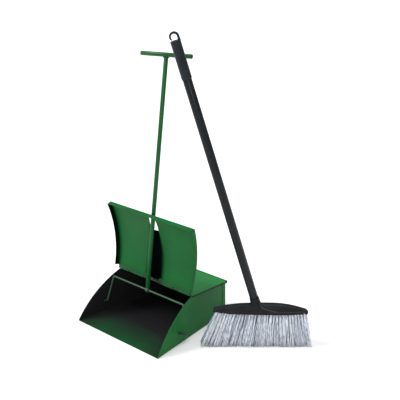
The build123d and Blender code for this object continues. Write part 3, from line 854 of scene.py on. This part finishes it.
def rounded(corners, radius, steps=7):
    """Path through corners with a bend of a given radius at each."""
    path = [corners[0]]
    for before, corner, after in zip(corners, corners[1:], corners[2:]):
        a = (before - corner).normalized()
        b = (after - corner).normalized()
        half_angle = a.angle(b) / 2
        reach = radius / math.tan(half_angle)
        centre = corner + (a + b).normalized() * (radius / math.sin(half_angle))
        start = corner + a * reach - centre
        end = corner + b * reach - centre
        turn = start.angle(end)
        for k in range(steps + 1):
            share = k / steps
            arc = start * math.sin((1 - share) * turn) + end * math.sin(share * turn)
            path.append(centre + arc / math.sin(turn))
    path.append(corners[-1])
    return path


def sweep_round(name, path, radius, sides):
    """Round bar along a path, closed at both ends with a small rounding."""
    directions = []
    for i in range(len(path)):
        ahead = path[min(i + 1, len(path) - 1)] - path[max(i - 1, 0)]
        directions.append(ahead.normalized())
    first, last = directions[0], directions[-1]
    edge = radius * 0.35
    rim = ((0.0, 1.0), (0.3, 0.3), (1.0, 0.0))      # (way along the edge, drop), as shares of the edge
    stations = [(path[0] + first * edge * way, first, radius - edge * drop) for way, drop in rim]
    stations += [(path[i], directions[i], radius) for i in range(1, len(path) - 1)]
    stations += [(path[-1] - last * edge * way, last, radius - edge * drop) for way, drop in reversed(rim)]
    across = frame_along(first)[0]
    rings = []
    for spot, direction, size in stations:
        across = (across - direction * across.dot(direction)).normalized()
        rings.append(ring_of(spot, across, direction.cross(across), size, sides))
    bar = skin_over(name, rings, closed=True, capped=True)
    smooth_by_angle(bar, 50)
    return bar


ROD_R = 5.5 * MM
TUBE_WALL = 1.0 * MM
ROD_START = 7 * MM
TEE_MIDDLE = middle("tee_grip")
ROD_LENGTH = (TEE_MIDDLE - CROSSBAR).length
ROD_AXIS = (TEE_MIDDLE - CROSSBAR).normalized()
TEE_TURN = math.radians(18)
TEE_LENGTH = 135 * MM
TEE_AXIS = Vector((math.cos(TEE_TURN), math.sin(TEE_TURN), 0))


def rod():
    """Steel tube from the crossbar up to the grip."""
    bar = turned("handle_tube", CROSSBAR, ROD_AXIS,
                 tube_profile(ROD_START, ROD_LENGTH - ROD_R * 0.6, ROD_R, TUBE_WALL, 0.35 * MM), 48)
    smooth_by_angle(bar, 50)
    return place(bar, "pan_handle", "rod_enamel", [ROD_GREEN], "handle_rod")


def tee():
    """Cross tube of the grip, open at both ends."""
    start = TEE_MIDDLE - TEE_AXIS * TEE_LENGTH / 2
    bar = turned("tee_tube", start, TEE_AXIS, tube_profile(0, TEE_LENGTH, ROD_R, 1.3 * MM, 0.4 * MM), 48)
    smooth_by_angle(bar, 50)
    return place(bar, "pan_handle", "rod_enamel", [ROD_GREEN], "tee_grip")


def weld_bead():
    """Hand-laid fillet weld round the joint of the two tubes, with its ripples."""
    lift = ROD_AXIS.cross(TEE_AXIS).normalized()
    around, ripples = 96, 17
    rings = []
    for k in range(around):
        turn = 2 * math.pi * k / around
        depth = math.sin(turn)
        reach = TEE_AXIS * math.cos(turn) + lift * depth
        drop = math.sqrt(max(0.0, 1 - (depth * 0.98) ** 2)) * ROD_R
        centre = TEE_MIDDLE - ROD_AXIS * (drop + 0.9 * MM) + reach * (ROD_R + 0.3 * MM)
        rings.append(ring_of(centre, reach, ROD_AXIS, (1.75 + 0.16 * math.sin(turn * ripples)) * MM, 16))
    bead = skin_over("tee_weld_bead", rings + rings[:1], closed=True)
    return place(bead, "pan_handle", "rod_enamel", [ROD_GREEN], "tee_weld")


# ================================================================ broom: places
BROOM_TURN = math.radians(42)
RIGHT = Vector((math.cos(BROOM_TURN), math.sin(BROOM_TURN), 0))
BACK = Vector((-math.sin(BROOM_TURN), math.cos(BROOM_TURN), 0))
UP = Vector((0, 0, 1))
LEAN = math.radians(16.65)
STICK_AXIS = RIGHT * -math.sin(LEAN) + UP * math.cos(LEAN)
STICK_SIDE = RIGHT * math.cos(LEAN) + UP * math.sin(LEAN)
STICK_R = 10.3 * MM
GRIP_R = 11.8 * MM
HEAD_LEFT, HEAD_RIGHT = -102 * MM, 124 * MM
HEAD_LEFT_Z, HEAD_RIGHT_Z = 86.5 * MM, 82.5 * MM
BLOCK_HALF = 16 * MM
BLOCK_END_HALF = 10.5 * MM
HANDLE_S = 3.4 * MM
HANDLE_Z = 92 * MM
GRIP_START = 588 * MM
HANDLE_END = 676 * MM


BLOCK = middle("tuft_block")
HEAD_SHIFT = RIGHT * ((HEAD_LEFT + HEAD_RIGHT) / 2)
BASE = Vector((BLOCK.x - HEAD_SHIFT.x, BLOCK.y - HEAD_SHIFT.y, 0))      # on the ground, below the handle
STICK_FOOT = BASE + RIGHT * HANDLE_S + UP * HANDLE_Z


def head_point(across, deep, height):
    """Point from its place in the broom's own turned axes."""
    return BASE + RIGHT * across + BACK * deep + UP * height


def underside(across):
    """Height of the head's underside, which rises a little to the left."""
    share = (across - HEAD_LEFT) / (HEAD_RIGHT - HEAD_LEFT)
    return HEAD_LEFT_Z + (HEAD_RIGHT_Z - HEAD_LEFT_Z) * share


def head_half(across):
    """Half depth of the head: widest in the middle, rounded at both ends."""
    centre = (HEAD_LEFT + HEAD_RIGHT) / 2
    length = (HEAD_RIGHT - HEAD_LEFT) / 2
    share = abs(across - centre) / length
    body = BLOCK_HALF - (BLOCK_HALF - BLOCK_END_HALF) * share ** 2.4
    over = (abs(across - centre) - length + 4.5 * MM) / (7 * MM)
    return body if over <= 0 else body * max(0.0, 1 - over ** 2) ** 0.42


# ================================================================ broom: head
CREST = ((-104.5, 5.0), (-101.5, 9.6), (-97, 11.3), (-76, 16.8), (-40, 22.2), (3.4, 24.6), (40, 25.0),
         (58, 24.2), (78, 21.6), (97, 17.4), (110, 13.4), (119, 10.0), (123.5, 8.0), (126.5, 5.0))


def crest_end(tip, shoulder, place_mm):
    """Steep rounded end of the crest, between its tip and its shoulder."""
    way = max(0.0, (place_mm - tip[0]) / (shoulder[0] - tip[0]))
    return (tip[1] + (shoulder[1] - tip[1]) * way ** 0.6) * MM


def cap_height(across):
    """Height of the cap's crest above its underside, on a smooth curve through the crest's points."""
    place_mm = across / MM
    if place_mm < CREST[1][0]:
        return crest_end(CREST[0], CREST[1], place_mm)
    if place_mm > CREST[-2][0]:
        return crest_end(CREST[-1], CREST[-2], place_mm)
    index = max(1, min(len(CREST) - 3, sum(1 for s, _ in CREST if s <= place_mm) - 1))
    before, left, right, after = CREST[index - 1:index + 3]
    span = right[0] - left[0]
    share = (place_mm - left[0]) / span
    slope_left = (right[1] - before[1]) / (right[0] - before[0]) * span
    slope_right = (after[1] - left[1]) / (after[0] - left[0]) * span
    square, cube = share ** 2, share ** 3
    return MM * ((2 * cube - 3 * square + 1) * left[1] + (cube - 2 * square + share) * slope_left
                 + (3 * square - 2 * cube) * right[1] + (cube - square) * slope_right)


SKIRT = 8.2 * MM
DOME_TOP = 24                # mm above the underside


def head_section(across):
    """Outline (depth, height above the underside) of the head: skirt, step and dome."""
    half = max(head_half(across), 0.4 * MM)
    crest = cap_height(across)
    skirt = min(SKIRT, crest * 0.8)
    step = min(1.5 * MM, half * 0.2)
    outline = [(half - 0.6 * MM if half > MM else half, 0), (half, 0.6 * MM), (half, skirt - 0.9 * MM),
               (half - 0.3 * step, skirt - 0.2 * MM), (half - step, skirt)]
    dome = half - step
    for k in range(1, 13):
        turn = math.pi / 2 * k / 12
        outline.append((dome * math.cos(turn) ** 0.8, skirt + (crest - skirt) * math.sin(turn) ** 1.1))
    mirrored = [(-d, h) for d, h in reversed(outline[:-1])]
    return outline + mirrored


def cap():
    """Head moulding: a skirt round the tufts under a long dome that swells towards the socket."""
    stations, over = 90, 2.4 * MM
    rows = []
    for i in range(stations + 1):
        share = 0.5 - 0.5 * math.cos(math.pi * i / stations)
        across = HEAD_LEFT - over + (HEAD_RIGHT - HEAD_LEFT + 2 * over) * share
        low = underside(across)
        rows.append([head_point(across, d, low + h) for d, h in head_section(across)])
    return skin_over("head_cap", rows, closed=True, capped=True)


def neck():
    """Socket that grows out of the cap and leans with the handle."""
    stations = [(-4, 16.6), (0, 15.4), (6, 14.1), (12, 13.2), (18, 12.6), (24, 12.1), (30, 11.7), (34, 11.4)]
    profile = [(-4 * MM, 0.0)] + [(d * MM, r * MM) for d, r in stations]
    profile += [(34.5 * MM, 11.0 * MM), (34.6 * MM, STICK_R + 0.05 * MM), (20 * MM, STICK_R + 0.05 * MM),
                (20 * MM, 0.0)]
    return turned("head_neck", STICK_FOOT, STICK_AXIS, profile, 56)


def fused_head():
    """Cap and socket as one moulding, blended where they meet."""
    body = cap()
    combine(body, "UNION", neck())
    remesh = body.modifiers.new("skin", "REMESH")
    remesh.mode = "VOXEL"
    remesh.voxel_size = 0.75 * MM
    apply_modifiers(body)
    relax_near(body, STICK_FOOT + STICK_AXIS * 14 * MM, 26 * MM, 30)
    raise_flare(body)
    paint_edge_highlight(body)
    for polygon in body.data.polygons:
        polygon.use_smooth = True
    return place(body, "broom", "head_plastic", [HEAD_BLACK], "tuft_block", "brush_cap", "socket_neck")


def place_on_head(point):
    """How far a point is across from the base, and how high above the underside in mm."""
    local = point - BASE
    across = local.dot(RIGHT)
    return across, (local.z - underside(across)) / MM


def off_handle(across, high):
    """Distance from the handle's middle in mm, which leans above the dome."""
    lean = (high - DOME_TOP) * math.tan(LEAN) * 0.5 if high > DOME_TOP else 0.0
    return (across - HANDLE_S) / MM + lean


def flare_half(high):
    """Half width in mm of the trumpet-shaped flare at a height in mm."""
    return 6.1 + 38 * max(0.0, (25 - high) / 16.5) ** 2.2


def raise_flare(obj):
    """Press the flare that runs from the socket down to the skirt 1.2 mm proud."""
    foot, top = SKIRT / MM + 0.3, 30
    skin = bmesh.new()
    skin.from_mesh(obj.data)
    skin.normal_update()
    moved = []
    for vert in skin.verts:
        across, high = place_on_head(vert.co)
        if foot < high < top and abs(across - HANDLE_S) < 60 * MM:
            share = clamp((flare_half(high) - abs(off_handle(across, high))) / 1.8)
            faded = clamp((top - high) / 6) * min(1.0, (high - foot) / 1.2)
            moved.append((vert, 1.2 * MM * ease(share) * faded))
    for vert, lift in moved:
        vert.co += (vert.normal - UP * vert.normal.z * 0.7) * lift
    skin.to_mesh(obj.data)
    skin.free()


def paint_edge_highlight(obj):
    """Mark the flare's right edge and the skirt's ridge beyond it for a painted highlight."""
    highlight_share = []
    for vert in obj.data.vertices:
        across, high = place_on_head(vert.co)
        offset, reach = off_handle(across, high), flare_half(high)
        flare = max(0.0, 1 - abs(reach - 0.9 - offset) / (0.9 + 0.12 * max(0.0, reach - 8)))
        flare *= clamp((34 - high) / 8) if high > SKIRT / MM else 0.0
        along = clamp(offset / 30 - 0.6) * clamp((118 - across / MM) / 12)
        ridge = max(0.0, 1 - abs(high - SKIRT / MM + 0.5) / 0.8) * along * 0.45
        highlight_share.append(max(flare * 0.8, ridge))
    # the edge attribute holds the painted highlight
    obj.data.attributes.new("edge", "FLOAT", "POINT").data.foreach_set("value", highlight_share)


def relax_near(obj, centre, reach, rounds):
    """Smooth the whole skin lightly, then the part near a point, fading out to nothing at the reach."""
    skin = bmesh.new()
    skin.from_mesh(obj.data)
    everywhere = [(v, 0.5) for v in skin.verts]
    near = [(v, min(1.0, 2 * (1 - (v.co - centre).length / reach))) for v in skin.verts
            if (v.co - centre).length < reach]
    for step in range(rounds):
        moved = []
        for vert, weight in (near if step >= 3 else everywhere):
            around = Vector((0, 0, 0))
            for edge in vert.link_edges:
                around += edge.other_vert(vert).co
            moved.append((vert, vert.co.lerp(around / len(vert.link_edges), 0.5 * weight)))
        for vert, spot in moved:
            vert.co = spot
    skin.to_mesh(obj.data)
    skin.free()


# ================================================================ broom: bristles
ROWS = 4
ROW_PITCH = 7.2 * MM
FOOT_LEFT, FOOT_RIGHT = -135 * MM, 137 * MM
FOOT_HALF = 22 * MM
TUFTS = 30
CLUMPS = 6
STRANDS = 9
STRAND_STEPS = 6
STRAND_SIDES = 4


def strand(points, faces, tones, root, bend, tip, radius, tone):
    """Add one tapered fibre from its root to its tip, curved by bend."""
    first = len(points)
    for i in range(STRAND_STEPS + 1):
        share = i / STRAND_STEPS
        spot = root.lerp(tip, share) + bend * math.sin(math.pi * share)
        points += ring_of(spot, RIGHT, BACK, radius * (1 - 0.45 * share ** 2), STRAND_SIDES)
        tones += [tone] * STRAND_SIDES
    for i in range(STRAND_STEPS):
        for k in range(STRAND_SIDES):
            n = (k + 1) % STRAND_SIDES
            low, high = first + i * STRAND_SIDES, first + (i + 1) * STRAND_SIDES
            faces.append((low + k, low + n, high + n, high + k))
    last = first + STRAND_STEPS * STRAND_SIDES
    faces.append(tuple(first + k for k in reversed(range(STRAND_SIDES))))
    faces.append(tuple(last + k for k in range(STRAND_SIDES)))


def bristle_row(row, dice):
    """Tufts in one groove; each splits into clumps that fan out evenly towards the floor."""
    points, faces, tones = [], [], []
    left, right = HEAD_LEFT + 4 * MM, HEAD_RIGHT - 4 * MM
    top_deep = (row - (ROWS - 1) / 2) * ROW_PITCH
    foot_deep = (row - (ROWS - 1) / 2) * FOOT_HALF * 2 / ROWS
    stagger = 0.5 if row % 2 else 0.0
    pitch = (FOOT_RIGHT - FOOT_LEFT) / TUFTS
    for tuft in range(TUFTS):
        share = min((tuft + 0.2 + stagger) / (TUFTS - 0.3), 1.0)
        root_across = left + (right - left) * share
        foot_across = FOOT_LEFT + (FOOT_RIGHT - FOOT_LEFT) * share
        for clump in range(CLUMPS):
            spin = dice.uniform(0, 2 * math.pi)
            reach = math.sqrt(dice.random())
            clump_root = (2.3 * MM * reach * math.cos(spin), 2.0 * MM * reach * math.sin(spin))
            clump_foot = ((clump + 0.5 - CLUMPS / 2) / CLUMPS * pitch * 1.15 + dice.gauss(0, 1.2 * MM),
                          4.6 * MM * reach * math.sin(spin) + dice.gauss(0, 0.8 * MM))
            clump_bend = RIGHT * dice.gauss(0, 1.3 * MM) + BACK * dice.gauss(0, 1.0 * MM)
            clump_tone = dice.choice((0.16, 0.34, 0.55, 0.62, 0.7, 0.75, 0.8, 0.85, 0.9, 0.95, 0.98))
            for _ in range(STRANDS):
                root = head_point(root_across + clump_root[0] + dice.gauss(0, 0.35 * MM),
                                  top_deep + clump_root[1] + dice.gauss(0, 0.35 * MM),
                                  underside(root_across) + 3 * MM)
                across = foot_across + clump_foot[0] + dice.gauss(0, 0.75 * MM)
                deep = foot_deep + clump_foot[1] + dice.gauss(0, 0.75 * MM)
                across = min(max(across, FOOT_LEFT), FOOT_RIGHT)
                deep = min(max(deep, -FOOT_HALF), FOOT_HALF)
                tip = head_point(across, deep, dice.uniform(0.25, 2.2) * MM)
                bend = clump_bend + RIGHT * dice.gauss(0, 0.5 * MM) + BACK * dice.gauss(0, 0.5 * MM)
                tone = min(max(clump_tone + dice.gauss(0, 0.14), 0), 1)
                strand(points, faces, tones, root, bend, tip, dice.uniform(0.34, 0.5) * MM, tone)
    mesh = bpy.data.meshes.new("tufts_row_" + str(row + 1))
    mesh.from_pydata([tuple(p) for p in points], [], faces)
    mesh.attributes.new("tone", "FLOAT", "POINT").data.foreach_set("value", tones)
    for polygon in mesh.polygons:
        polygon.use_smooth = True
    tufts = link(bpy.data.objects.new(mesh.name, mesh))
    return place(tufts, "broom", "bristles", [FIBRE], "bristle_row_" + str(row + 1))


# ================================================================ broom: handle
def stick():
    """Coated steel tube from inside the socket to the hanging cap."""
    profile = tube_profile(6 * MM, HANDLE_END - 8 * MM, STICK_R, 1.2 * MM, 0.3 * MM)
    tube = turned("stick_tube", STICK_FOOT, STICK_AXIS, profile, 64)
    smooth_by_angle(tube, 50)
    return place(tube, "broom", "stick_coating", [STICK_BLACK], "broom_stick", "stick_ferrule")


def grip():
    """Grip sleeve with a rounded shoulder and a slightly rounded top."""
    edge, rim = 1.6 * MM, 0.3 * MM
    outer = []
    for k in range(7):
        turn = math.pi / 2 * k / 6
        outer.append((GRIP_START + edge * (1 - math.cos(turn)), GRIP_R - edge * (1 - math.sin(turn))))
    top = HANDLE_END - 4.05 * MM
    steps = 60
    for k in range(1, steps):
        outer.append((GRIP_START + edge + (top - GRIP_START - edge) * k / steps, GRIP_R))
    outer += [(top - rim, GRIP_R), (top, GRIP_R - rim)]
    bore = STICK_R + 0.03 * MM
    sleeve = turned("grip_tube", STICK_FOOT, STICK_AXIS, outer + [(top, bore), (GRIP_START, bore)], 64)
    smooth_by_angle(sleeve, 50)
    return place(sleeve, "broom", "grip_plastic", [GRIP_BLACK], "grip_sleeve")


def hook_line():
    """Middle line of the hanging hook beside and above the cap, with half its width in mm."""
    stem, hook_r, rise = GRIP_R - 2.8 * MM, 9.0 * MM, 8.5 * MM
    centre = Vector((stem - hook_r, rise))
    line = [(Vector((stem, height * MM)), width) for height, width in ((-2, 3.4), (1.5, 3.1), (5, 2.8))]
    steps = 20
    for k in range(steps + 1):
        turn = math.radians(205 * k / steps)
        arm = Vector((math.cos(turn), math.sin(turn))) * hook_r
        line.append((centre + arm, 2.8 - 0.9 * (k / steps) ** 2))
    end = line[-1][0]
    ahead = (end - line[-2][0]).normalized()
    return line + [(end + ahead * 1.6 * MM, 1.5), (end + ahead * 2.6 * MM, 0.9)]


def blunt(value):
    """Cosine or sine swollen towards a square with round corners."""
    return math.copysign(abs(value) ** 0.55, value)


def hook():
    """End cap with a flat hanging hook that rises from its right edge and curls over to the left."""
    top = STICK_FOOT + STICK_AXIS * HANDLE_END
    depth, sides = 3.0 * MM, 24
    line = hook_line()
    rings = []
    for i, (spot, width) in enumerate(line):
        ahead = (line[min(i + 1, len(line) - 1)][0] - line[max(i - 1, 0)][0]).normalized()
        ring = []
        for k in range(sides):
            turn = 2 * math.pi * k / sides
            flat = spot + Vector((ahead.y, -ahead.x)) * (blunt(math.cos(turn)) * width * MM)
            deep = blunt(math.sin(turn)) * depth
            ring.append(top + STICK_SIDE * flat.x + STICK_AXIS * flat.y + BACK * deep)
        rings.append(ring)
    edge, rim = 1.2 * MM, 0.3 * MM
    profile = [(-4.0 * MM, 0.0), (-4.0 * MM, GRIP_R - rim), (rim - 4.0 * MM, GRIP_R), (-edge, GRIP_R)]
    for k in range(1, 7):
        turn = math.pi / 2 * k / 6
        profile.append((-edge + edge * math.sin(turn), GRIP_R - edge * (1 - math.cos(turn))))
    end_cap = turned("hook_end_cap", top, STICK_AXIS, profile + [(0.0, 0.0)], 64)
    combine(end_cap, "UNION", skin_over("hook_curl", rings, closed=True, capped=True))
    smooth_by_angle(end_cap, 40)
    return place(end_cap, "broom", "grip_plastic", [GRIP_BLACK], "hanger_hook")


# ================================================================ stage
def floor():
    """Plain pale studio floor, just below the lowest point."""
    half, cells = 120.0, 40
    steps = [half * (2 * i / cells - 1) for i in range(cells + 1)]
    rows = [[(x, y, 0.0) for y in steps] for x in steps]
    ground = skin_over("studio_floor", rows)
    material, shader, where = new_material("studio_floor_paint")
    mottled = noise(material, where, 3, 3)
    tone = blend_colors(material, mottled, (0.86, 0.86, 0.86), (0.89, 0.89, 0.89))
    feed(material, shader, {"Base Color": tone, "Roughness": 0.9})
    ground.data.materials.append(material)
    ground.location.z = -0.3 * MM


def sun_light(name, source, softness, strength):
    """Even light from a direction; softness is the source's width in degrees."""
    lamp = bpy.data.lights.new(name, "SUN")
    lamp.angle = math.radians(softness)
    lamp.energy = strength
    obj = link(bpy.data.objects.new(name, lamp))
    obj.location = Vector(source) * 3
    obj.rotation_euler = (-Vector(source)).to_track_quat("-Z", "Y").to_euler()


def lights():
    """Soft studio light: a key from the front left, one from above, a weak one in front, and all round."""
    world = bpy.data.worlds.new("studio")
    world.use_nodes = True
    background = world.node_tree.nodes["Background"]
    background.inputs["Color"].default_value = (1, 1, 1, 1)
    background.inputs["Strength"].default_value = 0.34
    bpy.context.scene.world = world
    sun_light("key", (-0.8, -0.6, 0.9), 26, 2.2)
    sun_light("top", (0.12, 0.1, 1.0), 50, 2.1)
    sun_light("front", (0.67, -0.66, 0.42), 16, 0.6)


def camera():
    lens = bpy.data.cameras.new("camera")
    lens.sensor_width = 36
    lens.lens = 72.25
    obj = link(bpy.data.objects.new("camera", lens))
    obj.location = (1.3413, -1.3230, 0.9898)
    obj.rotation_euler = (math.radians(90 - 19.36), 0, math.radians(42.02))
    bpy.context.scene.camera = obj
    bpy.context.scene.view_settings.view_transform = "Standard"


def main():
    pan_tub()
    pan_rear()
    pan_cover()
    roll_wire()
    lid_sheet()
    recess_floor()
    bail()
    rod()
    tee()
    weld_bead()
    fused_head()
    dice = random.Random(7)
    for row in range(ROWS):
        bristle_row(row, dice)
    stick()
    grip()
    hook()
    dress("hinge_knuckles", HINGE_GREEN, 0.2 * MM)
    dress("hinge_pin", PIN_STEEL)
    dress("hinge_strip_left", HINGE_GREEN, 0.15 * MM)
    dress("hinge_strip_right", HINGE_GREEN, 0.15 * MM)
    dress("handle_eye", WIRE_GREEN, 0.3 * MM)
    dress("anchor_wires", STEEL)
    floor()
    lights()
    camera()


main()
